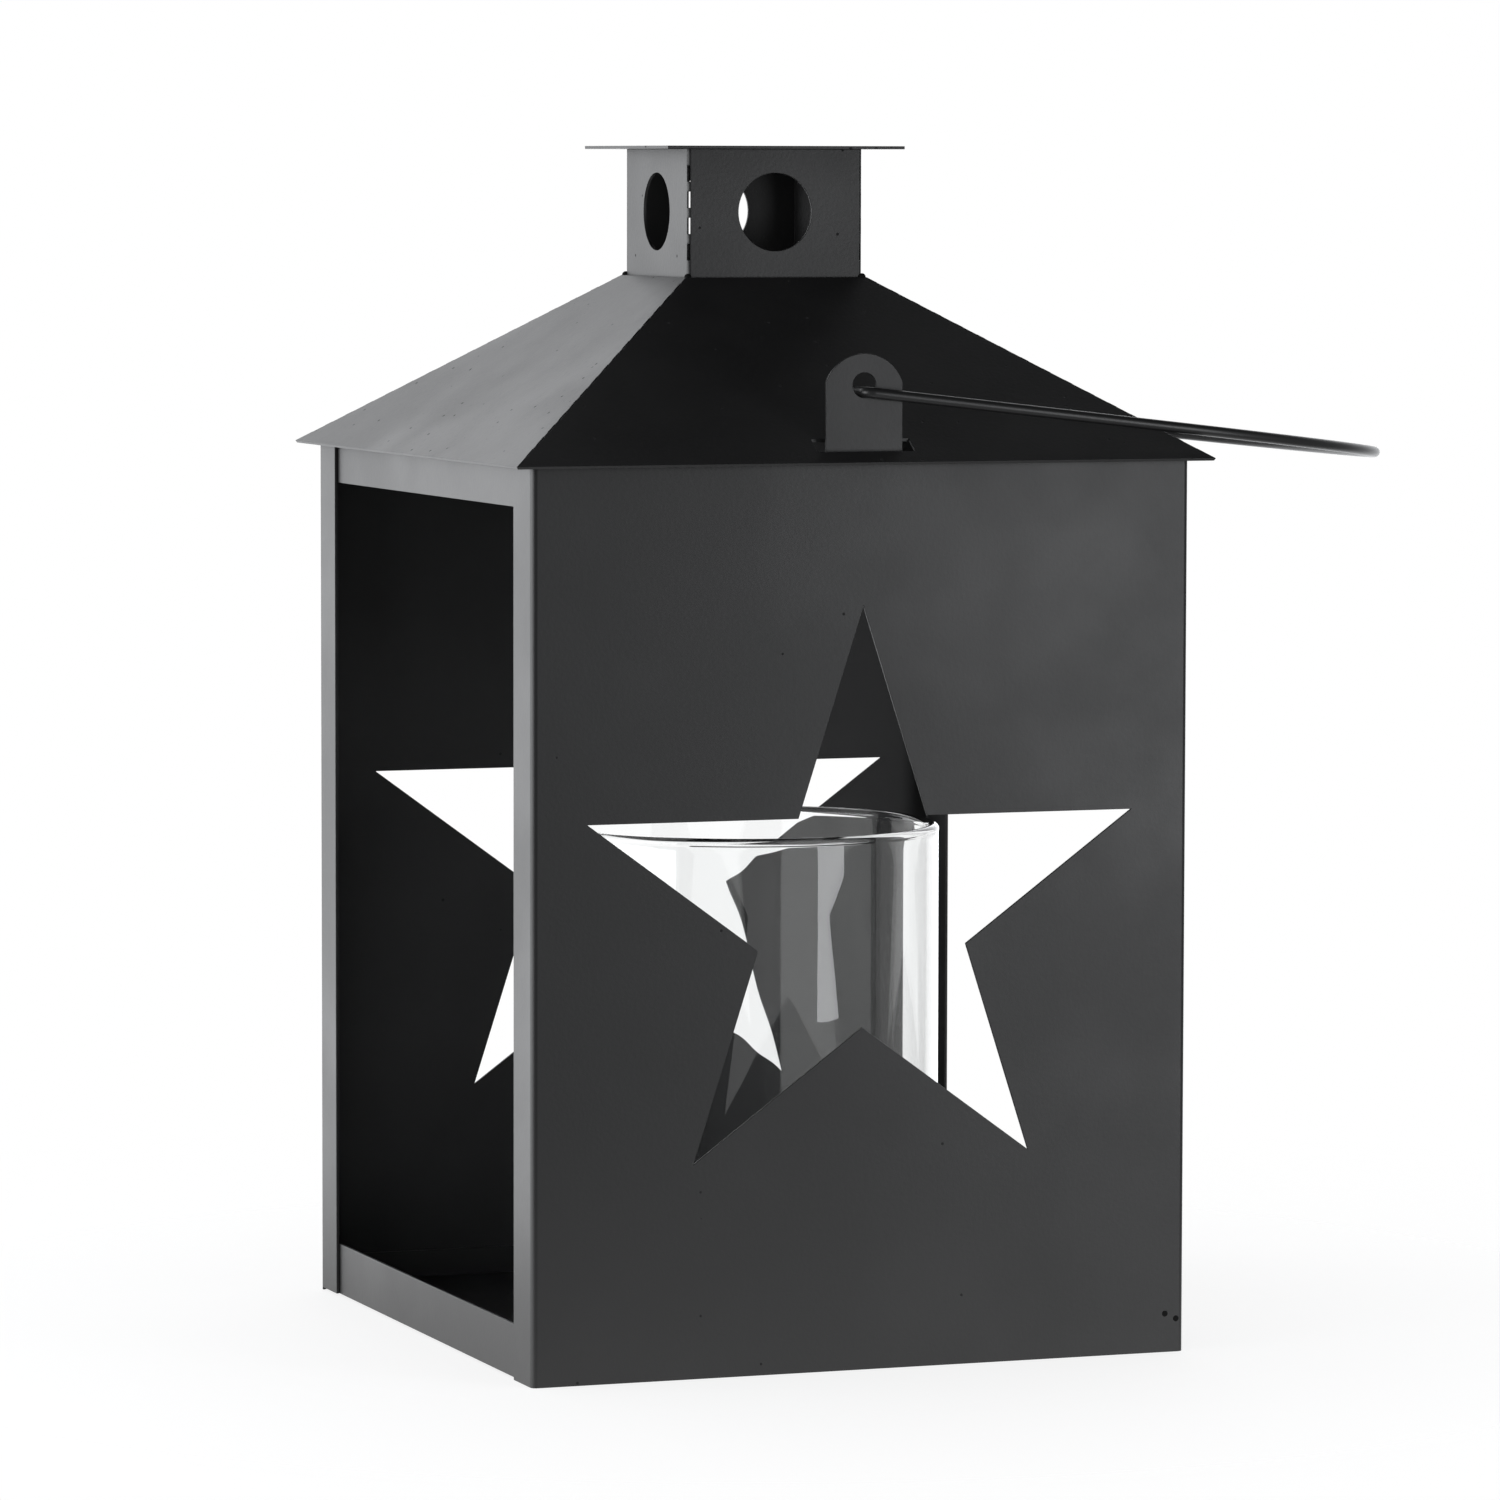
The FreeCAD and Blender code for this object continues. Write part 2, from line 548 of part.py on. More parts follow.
def make_glass():
    """straight glass with a closed bottom and a melted rim"""
    body = new_body("glass_insert", "sizes.glass_foot")
    section = new_sketch(body, "glass_section", "XZ_Plane")
    inner = "sizes.glass_radius - sizes.glass_wall"
    draw_outline(section, [
        ("0", "0"),
        ("sizes.glass_radius", "0"),
        ("sizes.glass_radius", "sizes.glass_length"),
        (inner, "sizes.glass_length"),
        (inner, "sizes.glass_base"),
        ("0", "sizes.glass_base"),
    ])
    turned = body.newObject("PartDesign::Revolution", "glass_turned")
    turned.Profile = section
    turned.ReferenceAxis = (section, ["V_Axis"])
    turned.Angle = 360
    finish(turned)
    reach = number("sizes.glass_rim") / 2
    for name, height, radius, rounding in (
        ("glass_rim_inside", "sizes.glass_length", inner, "sizes.glass_rim"),
        ("glass_rim_outside", "sizes.glass_length", "sizes.glass_radius", "sizes.glass_rim"),
        ("glass_well", "sizes.glass_base", inner, "sizes.glass_well"),
        ("glass_heel", "0", "sizes.glass_radius", "sizes.glass_heel"),
    ):
        wanted = number(radius), number(height)

        def chosen(edge):
            if not isinstance(edge.Curve, Part.Circle):
                return False
            centre = edge.Curve.Center
            return abs(edge.Curve.Radius - wanted[0]) < reach and abs(centre.z - wanted[1]) < reach

        round_edges(body, name, chosen, rounding)
    return body


PIECES = [
    make_wall("front_left_wall", 0),
    make_wall("rear_right_wall", 180),
    make_floor(),
    make_roof(),
    make_chimney(),
    make_cap(),
    make_bail(),
    make_glass(),
]

doc.recompute()
for item in doc.Objects:
    if "Invalid" in item.State or "Error" in item.State:
        raise RuntimeError("%s is in state %s" % (item.Name, item.State))
os.makedirs("parts", exist_ok=True)
for piece in PIECES:
    shape = piece.Shape
    if shape.isNull() or not shape.isValid() or len(shape.Solids) != 1:
        raise RuntimeError("%s is not one sound solid" % piece.Label)
    shape.exportStep("parts/%s.step" % piece.Label)
    box = shape.BoundBox
    print("%-16s %9.1f mm3  x %7.2f %7.2f  y %7.2f %7.2f  z %7.2f %7.2f" % (
        piece.Label, shape.Volume, box.XMin, box.XMax, box.YMin, box.YMax, box.ZMin, box.ZMax))
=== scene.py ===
"""Star lantern of black coated sheet steel: finishes its sheets, wire bail and glass, and sets the stage"""

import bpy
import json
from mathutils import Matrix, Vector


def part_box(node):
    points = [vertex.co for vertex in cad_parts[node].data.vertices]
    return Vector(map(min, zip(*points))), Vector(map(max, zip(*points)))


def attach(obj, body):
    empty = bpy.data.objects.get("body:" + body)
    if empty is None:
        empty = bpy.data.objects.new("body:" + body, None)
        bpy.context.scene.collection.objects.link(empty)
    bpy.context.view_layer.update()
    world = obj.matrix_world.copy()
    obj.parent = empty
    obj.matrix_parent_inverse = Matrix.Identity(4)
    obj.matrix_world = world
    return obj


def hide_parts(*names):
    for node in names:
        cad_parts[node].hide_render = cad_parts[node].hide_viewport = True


bl_info = {
    "name": "Star Lantern",
    "version": (1, 0, 0),
    "blender": (4, 5, 0),
    "location": "3D View > Sidebar > Lantern",
    "description": "Square sheet steel lantern with star panels, a wire bail and a glass",
    "category": "Object",
}

import json
import math

import bmesh
import bpy
import numpy as np
from bpy.props import FloatProperty, FloatVectorProperty, IntProperty, PointerProperty
from bpy.types import Operator, Panel, PropertyGroup
from mathutils import Matrix, Vector

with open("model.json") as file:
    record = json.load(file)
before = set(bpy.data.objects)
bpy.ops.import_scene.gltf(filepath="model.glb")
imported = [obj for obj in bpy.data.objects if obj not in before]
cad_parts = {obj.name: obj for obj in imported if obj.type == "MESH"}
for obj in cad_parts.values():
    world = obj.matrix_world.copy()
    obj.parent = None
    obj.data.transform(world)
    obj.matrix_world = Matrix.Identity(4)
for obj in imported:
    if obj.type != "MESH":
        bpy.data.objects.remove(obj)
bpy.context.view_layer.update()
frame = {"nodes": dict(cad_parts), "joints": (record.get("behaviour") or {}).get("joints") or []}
BAIL_SWING = next(joint for joint in frame["joints"] if joint["name"] == "bail_swing")
GLASS_FOOT, GLASS_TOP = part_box("glass_insert")
NECK_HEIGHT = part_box("roof")[1].z

# Points closer than this are merged in the sheets, and faces that differ by less than this angle are joined
MERGE_DISTANCE = 1e-6
FLAT_ANGLE = math.radians(0.2)
# Edges sharper than this are cut edges, which get the rounding
CUT_ANGLE = math.radians(40)
# Distance from the middle and height of each weld mark on the front panel, in metres
WELD_PLACES = ((0.0846, 0.0101), (0.0877, 0.0087))
# Facets round a weld mark or a bead, and points along their outlines
MARK_SIDES, MARK_STEPS, BEAD_STEPS = 20, 7, 13
# Points along the pieces of the wire: its cut ends, its hooks, their bends, its legs and its loop
END_STEPS, HOOK_STEPS, BEND_STEPS, LEG_STEPS, LOOP_STEPS = 7, 6, 14, 30, 160
# Points along the outline of the glass: its base, its corners outside and inside, its wall, swell and rim
BASE_STEPS, HEEL_STEPS, WELL_STEPS, WALL_STEPS, SWELL_STEPS, RIM_STEPS = 8, 14, 10, 60, 14, 26
# Facets and rings of the studio floor, and its innermost ring as a share of the radius
FLOOR_SIDES, FLOOR_RINGS, FLOOR_CORE = 96, 40, 0.02
# Waves round the glass that make up its upright streaks
STREAK_COUNTS = (11, 17, 29, 41)
# Where the studio is brightest: behind the lantern and a little to the left
BRIGHT_SIDE = (-0.25, 0.968, 0.0)
# Width of the camera's sensor in millimetres, and the nearest and farthest that it sees in metres
SENSOR_WIDTH, CAMERA_RANGE = 36.0, (0.05, 20.0)
# Soft lamps: name, place, place they point at, width and height in metres, power in watts
SOFTBOXES = (
    ("right_softbox", (0.40, -0.66, 0.18), (0.09, -0.09, 0.15), (0.22, 0.36), 1.4),
    ("left_softbox", (-1.16, -0.06, 0.25), (-0.09, -0.02, 0.15), (1.35, 0.6), 10.6),
)

# Levels between which a texture goes from none to full
RUBBED_LEVELS = (0.40, 0.68)
DUST_LEVELS = (0.35, 0.75)
SPECK_LEVELS = (0.66, 0.74)
FILM_LEVELS = (0.45, 0.80)
# Upward part of the normal between which dust goes from none to full
DUST_SLOPES = (0.25, 0.95)
# Distance from its place, in cells, at which a pit starts to rise and at which it ends
PIT_EDGE = (0.05, 0.09)
# Product of place and normal, in metres, between which a side goes from an inner to an outer one
INNER_EDGE = (-0.020, -0.005)
# Shares of the broad patches in the rubbed and the dusty look, the rest being fine specks
RUBBED_SHARE, DUST_SHARE = 0.7, 0.35
# Level of the rubbed look at which the coat has its plain roughness
RUBBED_MIDDLE = 0.4


# Sizes and colours

class LanternSizes(PropertyGroup):
    """Sizes of the finished pieces"""
    edge_round: FloatProperty(
        name="Edge Rounding", description="Width of the rounding on the cut edges of the sheet",
        default=0.00012, unit="LENGTH")
    wire_radius: FloatProperty(
        name="Wire Radius", description="Radius of the bail's wire", default=0.0014, unit="LENGTH")
    wire_bend: FloatProperty(
        name="Hook Bend", description="Radius of the hooks at the middle of the wire",
        default=0.0022, unit="LENGTH")
    wire_end: FloatProperty(
        name="Wire End", description="Rounding of the cut ends of the wire", default=0.0005, unit="LENGTH")
    hook_place: FloatProperty(
        name="Hook End", description="Distance from the middle of the lantern to the end of a hook",
        default=0.0826, unit="LENGTH")
    leg_place: FloatProperty(
        name="Leg Place", description="Distance from the middle of the lantern to a leg of the bail",
        default=0.0908, unit="LENGTH")
    leg_length: FloatProperty(
        name="Leg Length", description="Length of the straight legs of the bail", default=0.085,
        unit="LENGTH")
    bail_angle: FloatProperty(
        name="Bail Slope", description="Slope of the resting bail", default=math.radians(6.5),
        subtype="ANGLE")
    glass_wall: FloatProperty(
        name="Glass Wall", description="Thickness of the wall of the glass", default=0.003, unit="LENGTH")
    glass_base: FloatProperty(
        name="Glass Base", description="Thickness of the bottom of the glass", default=0.005, unit="LENGTH")
    glass_heel: FloatProperty(
        name="Glass Heel", description="Outside radius at the bottom of the glass", default=0.004,
        unit="LENGTH")
    glass_well: FloatProperty(
        name="Glass Well", description="Inside radius at the bottom of the glass", default=0.002,
        unit="LENGTH")
    glass_ripple: FloatProperty(
        name="Glass Ripple", description="Depth of the ripples that pressing leaves in the wall",
        default=0.000025, unit="LENGTH")
    glass_streak: FloatProperty(
        name="Glass Streaks", description="Depth of the upright streaks in the wall of the glass",
        default=0.000005, unit="LENGTH")
    glass_rim: FloatProperty(
        name="Glass Rim", description="Radius of the bead that melting leaves on the rim", default=0.0016,
        unit="LENGTH")
    glass_swell: FloatProperty(
        name="Glass Swell", description="Height over which the wall swells into the bead, in bead radii",
        default=0.5)
    weld_radius: FloatProperty(
        name="Weld Radius", description="Radius of a spot weld's mark", default=0.0008, unit="LENGTH")
    weld_rise: FloatProperty(
        name="Weld Rise", description="Height of a spot weld's mark, in mark radii", default=0.16)
    weld_root: FloatProperty(
        name="Weld Root", description="Depth to which a weld's mark reaches into the sheet, in mark radii",
        default=0.1)
    bead_radius: FloatProperty(
        name="Bead Radius", description="Radius of the beads at the foot of the chimney", default=0.0010,
        unit="LENGTH")
    chimney_place: FloatProperty(
        name="Chimney Place", description="Distance from the middle of the lantern to a side of the chimney",
        default=0.0243, unit="LENGTH")
    wire_sides: IntProperty(name="Wire Sides", description="Facets round the wire", default=32)
    glass_sides: IntProperty(name="Glass Sides", description="Facets round the glass", default=320)


class LanternFinish(PropertyGroup):
    """Colours and textures of the coat and the glass"""
    coat_colour: FloatVectorProperty(
        name="Coat Colour", description="Colour of the black coat", subtype="COLOR", size=4,
        default=(0.0065, 0.0065, 0.0068, 1.0))
    worn_colour: FloatVectorProperty(
        name="Rubbed Colour", description="Colour of the coat where hands rub it", subtype="COLOR", size=4,
        default=(0.0105, 0.0105, 0.0109, 1.0))
    dust_colour: FloatVectorProperty(
        name="Dust Colour", description="Colour of the dust that settles on slopes", subtype="COLOR", size=4,
        default=(0.060, 0.058, 0.055, 1.0))
    wire_colour: FloatVectorProperty(
        name="Wire Colour", description="Colour of the coat on the wire", subtype="COLOR", size=4,
        default=(0.0090, 0.0090, 0.0092, 1.0))
    weld_colour: FloatVectorProperty(
        name="Weld Colour", description="Colour of a spot weld's mark", subtype="COLOR", size=4,
        default=(0.004, 0.004, 0.004, 1.0))
    glass_colour: FloatVectorProperty(
        name="Glass Colour", description="Tint of the clear glass", subtype="COLOR", size=4,
        default=(0.985, 0.992, 0.992, 1.0))
    floor_colour: FloatVectorProperty(
        name="Floor Colour", description="Colour of the studio floor", subtype="COLOR", size=4,
        default=(0.24, 0.24, 0.24, 1.0))
    floor_roughness: FloatProperty(
        name="Floor Roughness", description="Roughness of the studio floor", default=0.9)
    floor_gloss: FloatProperty(
        name="Floor Gloss", description="Strength of the floor's reflections", default=0.1)
    grain_size: FloatProperty(
        name="Grain Size", description="Size of the grain of the coat", default=0.0011, unit="LENGTH")
    grain_depth: FloatProperty(
        name="Grain Depth", description="Depth of the grain of the coat", default=0.000022, unit="LENGTH")
    sheet_roughness: FloatProperty(
        name="Sheet Roughness", description="Roughness of the coat on the walls and the floor",
        default=0.43)
    roof_roughness: FloatProperty(
        name="Roof Roughness", description="Roughness of the coat on the roof and the chimney", default=0.46)
    wire_roughness: FloatProperty(
        name="Wire Roughness", description="Roughness of the coat on the wire", default=0.38)
    inner_dullness: FloatProperty(
        name="Inner Dullness", description="Roughness that the inner sides have more than the outer ones",
        default=0.22)
    pit_dullness: FloatProperty(
        name="Pit Dullness", description="Roughness that a pit has more than the coat round it", default=0.5)
    dust_dullness: FloatProperty(
        name="Dust Dullness", description="Roughness that dust adds to the coat", default=0.5)
    weld_roughness: FloatProperty(
        name="Weld Roughness", description="Roughness of a spot weld's mark", default=0.7)
    weld_gloss: FloatProperty(
        name="Weld Gloss", description="Strength of the reflections of a spot weld's mark", default=0.12)
    pit_depth: FloatProperty(
        name="Pit Depth", description="Depth of a pit, in depths of the grain", default=1.6)
    pit_spacing: FloatProperty(
        name="Pit Spacing", description="Distance between two places for pits, in grains", default=5.0)
    rubbed_scale: FloatProperty(
        name="Rubbed Scale", description="Rubbed patches per metre", default=16.0)
    speckle_scale: FloatProperty(
        name="Speckle Scale", description="Speckles of the rubbed coat per metre", default=420.0)
    dust_scale: FloatProperty(
        name="Dust Scale", description="Patches of dust per metre", default=38.0)
    speck_scale: FloatProperty(
        name="Speck Scale", description="Specks of dust per metre", default=900.0)
    coat_ior: FloatProperty(
        name="Coat IOR", description="Refraction index of the coat", default=1.52)
    glass_ior: FloatProperty(
        name="Glass IOR", description="Refraction index of the glass", default=1.5)
    film_scale: FloatProperty(
        name="Film Scale", description="Patches of film on the glass per metre", default=60.0)
    film_roughness: FloatProperty(
        name="Film Roughness", description="Roughness of the film on the glass where it is thickest",
        default=0.035)
    wave_length: FloatProperty(
        name="Wave Length", description="Length of the shallow waves in the thin sheet", default=0.055,
        unit="LENGTH")
    wave_depth: FloatProperty(
        name="Wave Depth", description="Depth of the shallow waves in the thin sheet", default=0.00035,
        unit="LENGTH")


class LanternStage(PropertyGroup):
    """Place of the camera, measured round the middle of the lantern's base, the floor and the studio"""
    azimuth: FloatProperty(
        name="Azimuth", description="Angle from the front to the camera, to the left", subtype="ANGLE",
        default=math.radians(20.343))
    elevation: FloatProperty(
        name="Elevation", description="Angle of the camera above the horizon", subtype="ANGLE",
        default=math.radians(4.494))
    roll: FloatProperty(
        name="Roll", description="Turn of the camera about its own axis", subtype="ANGLE",
        default=math.radians(0.119))
    distance: FloatProperty(
        name="Distance", description="Distance from the camera to the lantern", default=1.974, unit="LENGTH")
    aim_across: FloatProperty(
        name="Aim Across", description="How far to the right of the middle the camera points",
        default=0.00211, unit="LENGTH")
    aim_height: FloatProperty(
        name="Aim Height", description="Height that the camera points at", default=0.15261, unit="LENGTH")
    lens: FloatProperty(
        name="Focal Length", description="Focal length in millimetres on a 36 mm wide sensor", default=178.28)
    floor_radius: FloatProperty(
        name="Floor Radius", description="Radius of the studio floor", default=0.45, unit="LENGTH")
    floor_glow: FloatProperty(
        name="Floor Glow", description="Light that the floor gives by itself", default=0.80)
    floor_fade_start: FloatProperty(
        name="Floor Fade Start", description="Share of the radius at which the floor starts to fade",
        default=0.22)
    floor_fade_end: FloatProperty(
        name="Floor Fade End", description="Share of the radius at which the floor has faded",
        default=0.95)
    ceiling_start: FloatProperty(
        name="Ceiling Start", description="Sine of the elevation at which the studio starts to dim",
        default=0.38)
    ceiling_end: FloatProperty(
        name="Ceiling End", description="Sine of the elevation from which the studio stays dim",
        default=0.68)
    ceiling_glow: FloatProperty(
        name="Ceiling Glow", description="Share of the studio's light that comes from overhead",
        default=0.10)
    front_glow: FloatProperty(
        name="Front Glow", description="Level of the studio in front of the lantern", default=0.22)
    shade_glow: FloatProperty(
        name="Shade Glow", description="Level of the studio's plain light on matt surfaces", default=0.5)
    light_colour: FloatVectorProperty(
        name="Light Colour", description="Cool colour of the studio's light", subtype="COLOR", size=4,
        default=(0.966, 0.980, 1.0, 1.0))
    back_edge: FloatProperty(
        name="Back Edge", description="Cosine of the angle to the bright side at which the light is full",
        default=0.8)
    back_glow: FloatProperty(
        name="Back Glow", description="Level of the studio behind the lantern", default=2.3)


# Surfaces worked out on grids

def link_mesh(name, points, faces):
    """New object of points and faces, smooth all over, with its faces turned outwards"""
    mesh = bpy.data.meshes.new(name)
    mesh.from_pydata(points, [], faces)
    mesh.polygons.foreach_set("use_smooth", np.ones(len(mesh.polygons), bool))
    mesh.update()
    work = bmesh.new()
    work.from_mesh(mesh)
    bmesh.ops.recalc_face_normals(work, faces=work.faces)
    work.to_mesh(mesh)
    work.free()
    piece = bpy.data.objects.new(name, mesh)
    bpy.context.scene.collection.objects.link(piece)
    return piece


def grid_faces(rows, columns):
    """Quads between the points of a grid whose columns run round and meet again"""
    row, column = np.meshgrid(np.arange(rows - 1), np.arange(columns), indexing="ij")
    beside = (column + 1) % columns
    quads = np.stack([row * columns + column, row * columns + beside,
                      (row + 1) * columns + beside, (row + 1) * columns + column], axis=-1)
    return quads.reshape(-1, 4)


def pole_faces(pole, ring):
    """Triangles from one point to the points of a closed ring"""
    return np.stack([np.full(len(ring), pole), ring, np.roll(ring, -1)], axis=-1)


def arc_points(centre, radius, first, last, count):
    """Points of a plane arc: centre + radius (cos a, sin a), with a from first to last"""
    angle = np.linspace(first, last, count)
    return np.stack([centre[0] + radius * np.cos(angle), centre[1] + radius * np.sin(angle)], axis=-1)


def straight_points(start, end, count):
    """Points of a straight run between two points, without its ends"""
    share = np.linspace(0, 1, count + 2)[1:-1, None]
    return np.asarray(start) * (1 - share) + np.asarray(end) * share


def close_rings(points, poles, sides):
    """Surface of rings of points that follow one another, closed by a pole at either end"""
    first_ring = np.arange(sides)
    faces = grid_faces(len(points) // sides, sides).tolist()
    faces += pole_faces(len(points), first_ring).tolist()
    faces += pole_faces(len(points) + 1, first_ring + len(points) - sides).tolist()
    return np.concatenate([points, poles]), faces


def wire_surface(path, radius, end_round, sides):
    """Tube round a plane path: path(s) + r(s) (cos a normal(s) + sin a upright), where r falls to
    radius - end_round along a quarter circle at both ends, each closed by a pole"""
    steps = np.linalg.norm(np.diff(path, axis=0), axis=1)
    run = np.concatenate([[0], np.cumsum(steps)])
    turn = np.linspace(0, math.pi / 2, END_STEPS)
    near = end_round * (1 - np.cos(turn))
    between = run[(run > end_round) & (run < run[-1] - end_round)]
    fine = np.concatenate([near, between, (run[-1] - near)[::-1]])
    centre = np.stack([np.interp(fine, run, path[:, axis]) for axis in range(2)], axis=-1)
    from_end = np.minimum(fine, run[-1] - fine)
    drop = np.clip(1 - from_end / end_round, 0, 1)
    thick = radius - end_round + end_round * np.sqrt(1 - drop ** 2)
    along = np.gradient(centre, fine, axis=0)
    along /= np.linalg.norm(along, axis=1, keepdims=True)
    normal = np.stack([along[:, 1], -along[:, 0]], axis=-1)
    angle = np.linspace(0, 2 * math.pi, sides, endpoint=False)
    flat = centre[:, None] + thick[:, None, None] * np.cos(angle)[None, :, None] * normal[:, None]
    lift = thick[:, None] * np.sin(angle)[None, :]
    points = np.concatenate([flat, lift[..., None]], axis=-1).reshape(-1, 3)
    poles = np.concatenate([centre[[0, -1]], np.zeros((2, 1))], axis=-1)
    return close_rings(points, poles, sides)


def turned_surface(profile, sides, ripple=0.0, streak=0.0):
    """Surface of revolution of a profile (radius, height) that starts and ends on the axis: each ring is
    radius + ripple sin(3 a + 40 height) sin(7 a - 25 height) + streak sum sin(k a + k^2 + 900 radius) / 2
    at the angle a, over the counts k of the streaks"""
    rings, tips = profile[1:-1], profile[[0, -1]]
    angle = np.linspace(0, 2 * math.pi, sides, endpoint=False)
    wave = (np.sin(3 * angle[None, :] + 40 * rings[:, 1:]) * np.sin(7 * angle[None, :] - 25 * rings[:, 1:]))
    fine = sum(np.sin(k * angle[None, :] + k ** 2 + 900 * rings[:, :1]) for k in STREAK_COUNTS) / 2
    radius = rings[:, :1] + ripple * wave + streak * fine
    points = np.stack([radius * np.cos(angle), radius * np.sin(angle),
                       np.broadcast_to(rings[:, 1:], radius.shape)], axis=-1).reshape(-1, 3)
    poles = np.array([[0, 0, tips[0, 1]], [0, 0, tips[1, 1]]])
    return close_rings(points, poles, sides)


def join_surfaces(surfaces):
    """One surface of several pairs of points and faces"""
    points, faces, count = [], [], 0
    for own_points, own_faces in surfaces:
        faces += [[corner + count for corner in face] for face in own_faces]
        points.append(own_points)
        count += len(own_points)
    return np.concatenate(points), faces


def sheet_piece(node, name, edge_round):
    """Copy of a folded sheet as it was made, merged and with its flat areas joined, whose cut edges get a
    narrow rounding and whose normals follow the larger faces"""
    work = bmesh.new()
    work.from_mesh(frame["nodes"][node].data)
    bmesh.ops.remove_doubles(work, verts=work.verts, dist=MERGE_DISTANCE)
    bmesh.ops.dissolve_limit(work, angle_limit=FLAT_ANGLE, verts=work.verts, edges=work.edges)
    mesh = bpy.data.meshes.new(name)
    work.to_mesh(mesh)
    work.free()
    mesh.polygons.foreach_set("use_smooth", np.ones(len(mesh.polygons), bool))
    piece = bpy.data.objects.new(name, mesh)
    bpy.context.scene.collection.objects.link(piece)
    bevel = piece.modifiers.new("cut_edges", "BEVEL")
    bevel.width = edge_round
    bevel.segments = 2
    bevel.limit_method = "ANGLE"
    bevel.angle_limit = CUT_ANGLE
    bevel.use_clamp_overlap = False
    even = piece.modifiers.new("flat_faces", "WEIGHTED_NORMAL")
    even.mode = "FACE_AREA"
    even.weight = 100
    return piece


# Node groups that several finishes share

def new_group(name, inputs, outputs):
    """Shader node group with named sockets, and its first and last nodes"""
    group = bpy.data.node_groups.new(name, "ShaderNodeTree")
    for label, kind, value in inputs:
        socket = group.interface.new_socket(name=label, in_out="INPUT", socket_type=kind)
        if value is not None:
            socket.default_value = value
    for label, kind in outputs:
        group.interface.new_socket(name=label, in_out="OUTPUT", socket_type=kind)
    return group, group.nodes.new("NodeGroupInput"), group.nodes.new("NodeGroupOutput")


def feed(tree, value, socket):
    """Link from another socket, or a plain value, into a socket"""
    if isinstance(value, bpy.types.NodeSocket):
        tree.links.new(value, socket)
    else:
        socket.default_value = value


def add_math(tree, operation, first, second):
    """Math node on two sockets or numbers, returning its result"""
    node = tree.nodes.new("ShaderNodeMath")
    node.operation = operation
    feed(tree, first, node.inputs[0])
    feed(tree, second, node.inputs[1])
    return node.outputs[0]


def add_range(tree, value, low, high, to_low=0.0, to_high=1.0):
    """Smooth step of a value from one range to another"""
    node = tree.nodes.new("ShaderNodeMapRange")
    node.interpolation_type = "SMOOTHSTEP"
    tree.links.new(value, node.inputs["Value"])
    for label, number in (("From Min", low), ("From Max", high), ("To Min", to_low), ("To Max", to_high)):
        node.inputs[label].default_value = number
    return node.outputs["Result"]


def add_noise(tree, place, scale, detail, roughness=0.5):
    """Noise on a place, whose scale is a number or a socket"""
    node = tree.nodes.new("ShaderNodeTexNoise")
    tree.links.new(place, node.inputs["Vector"])
    feed(tree, scale, node.inputs["Scale"])
    node.inputs["Detail"].default_value = detail
    node.inputs["Roughness"].default_value = roughness
    return node.outputs["Fac"]


def coat_grain_group(finish):
    """Grain of a powder coat: fine noise of the grain's size, with scattered pits"""
    group, start, end = new_group(
        "coat_grain",
        [("Place", "NodeSocketVector", None), ("Grain Size", "NodeSocketFloat", 0.001),
         ("Pits", "NodeSocketFloat", 0.3)],
        [("Height", "NodeSocketFloat"), ("Pit", "NodeSocketFloat")])
    scale = add_math(group, "DIVIDE", 1.0, start.outputs["Grain Size"])
    grain = add_noise(group, start.outputs["Place"], scale, 3.0, 0.6)
    cells = group.nodes.new("ShaderNodeTexVoronoi")
    group.links.new(start.outputs["Place"], cells.inputs["Vector"])
    group.links.new(add_math(group, "DIVIDE", scale, finish.pit_spacing), cells.inputs["Scale"])
    near = add_range(group, cells.outputs["Distance"], *PIT_EDGE, 1.0, 0.0)
    tone = group.nodes.new("ShaderNodeSeparateColor")
    group.links.new(cells.outputs["Color"], tone.inputs["Color"])
    chosen = add_math(group, "LESS_THAN", tone.outputs["Red"], start.outputs["Pits"])
    pit = add_math(group, "MULTIPLY", near, chosen)
    sunk = add_math(group, "MULTIPLY", pit, finish.pit_depth)
    group.links.new(add_math(group, "SUBTRACT", grain, sunk), end.inputs["Height"])
    group.links.new(pit, end.inputs["Pit"])
    return group


def sheet_waves_group():
    """Shallow waves that folding and coating leave in thin sheet"""
    group, start, end = new_group(
        "sheet_waves",
        [("Place", "NodeSocketVector", None), ("Wave Length", "NodeSocketFloat", 0.05)],
        [("Height", "NodeSocketFloat")])
    scale = add_math(group, "DIVIDE", 1.0, start.outputs["Wave Length"])
    group.links.new(add_noise(group, start.outputs["Place"], scale, 1.0, 0.35), end.inputs["Height"])
    return group


def handling_group(finish):
    """Faint patches that hands and cloths leave: a soft mask and a roughness about a middle value"""
    group, start, end = new_group(
        "handling",
        [("Place", "NodeSocketVector", None), ("Roughness", "NodeSocketFloat", 0.4),
         ("Change", "NodeSocketFloat", 0.05)],
        [("Rubbed", "NodeSocketFloat"), ("Roughness", "NodeSocketFloat")])
    spread = add_noise(group, start.outputs["Place"], finish.rubbed_scale, 3.0, 0.55)
    broad = add_range(group, spread, *RUBBED_LEVELS)
    speckle = add_noise(group, start.outputs["Place"], finish.speckle_scale, 2.0)
    mixed = add_math(group, "ADD", add_math(group, "MULTIPLY", broad, RUBBED_SHARE),
                     add_math(group, "MULTIPLY", speckle, 1 - RUBBED_SHARE))
    away = add_math(group, "SUBTRACT", mixed, RUBBED_MIDDLE)
    change = add_math(group, "MULTIPLY", away, start.outputs["Change"])
    group.links.new(mixed, end.inputs["Rubbed"])
    group.links.new(add_math(group, "SUBTRACT", start.outputs["Roughness"], change), end.inputs["Roughness"])
    return group


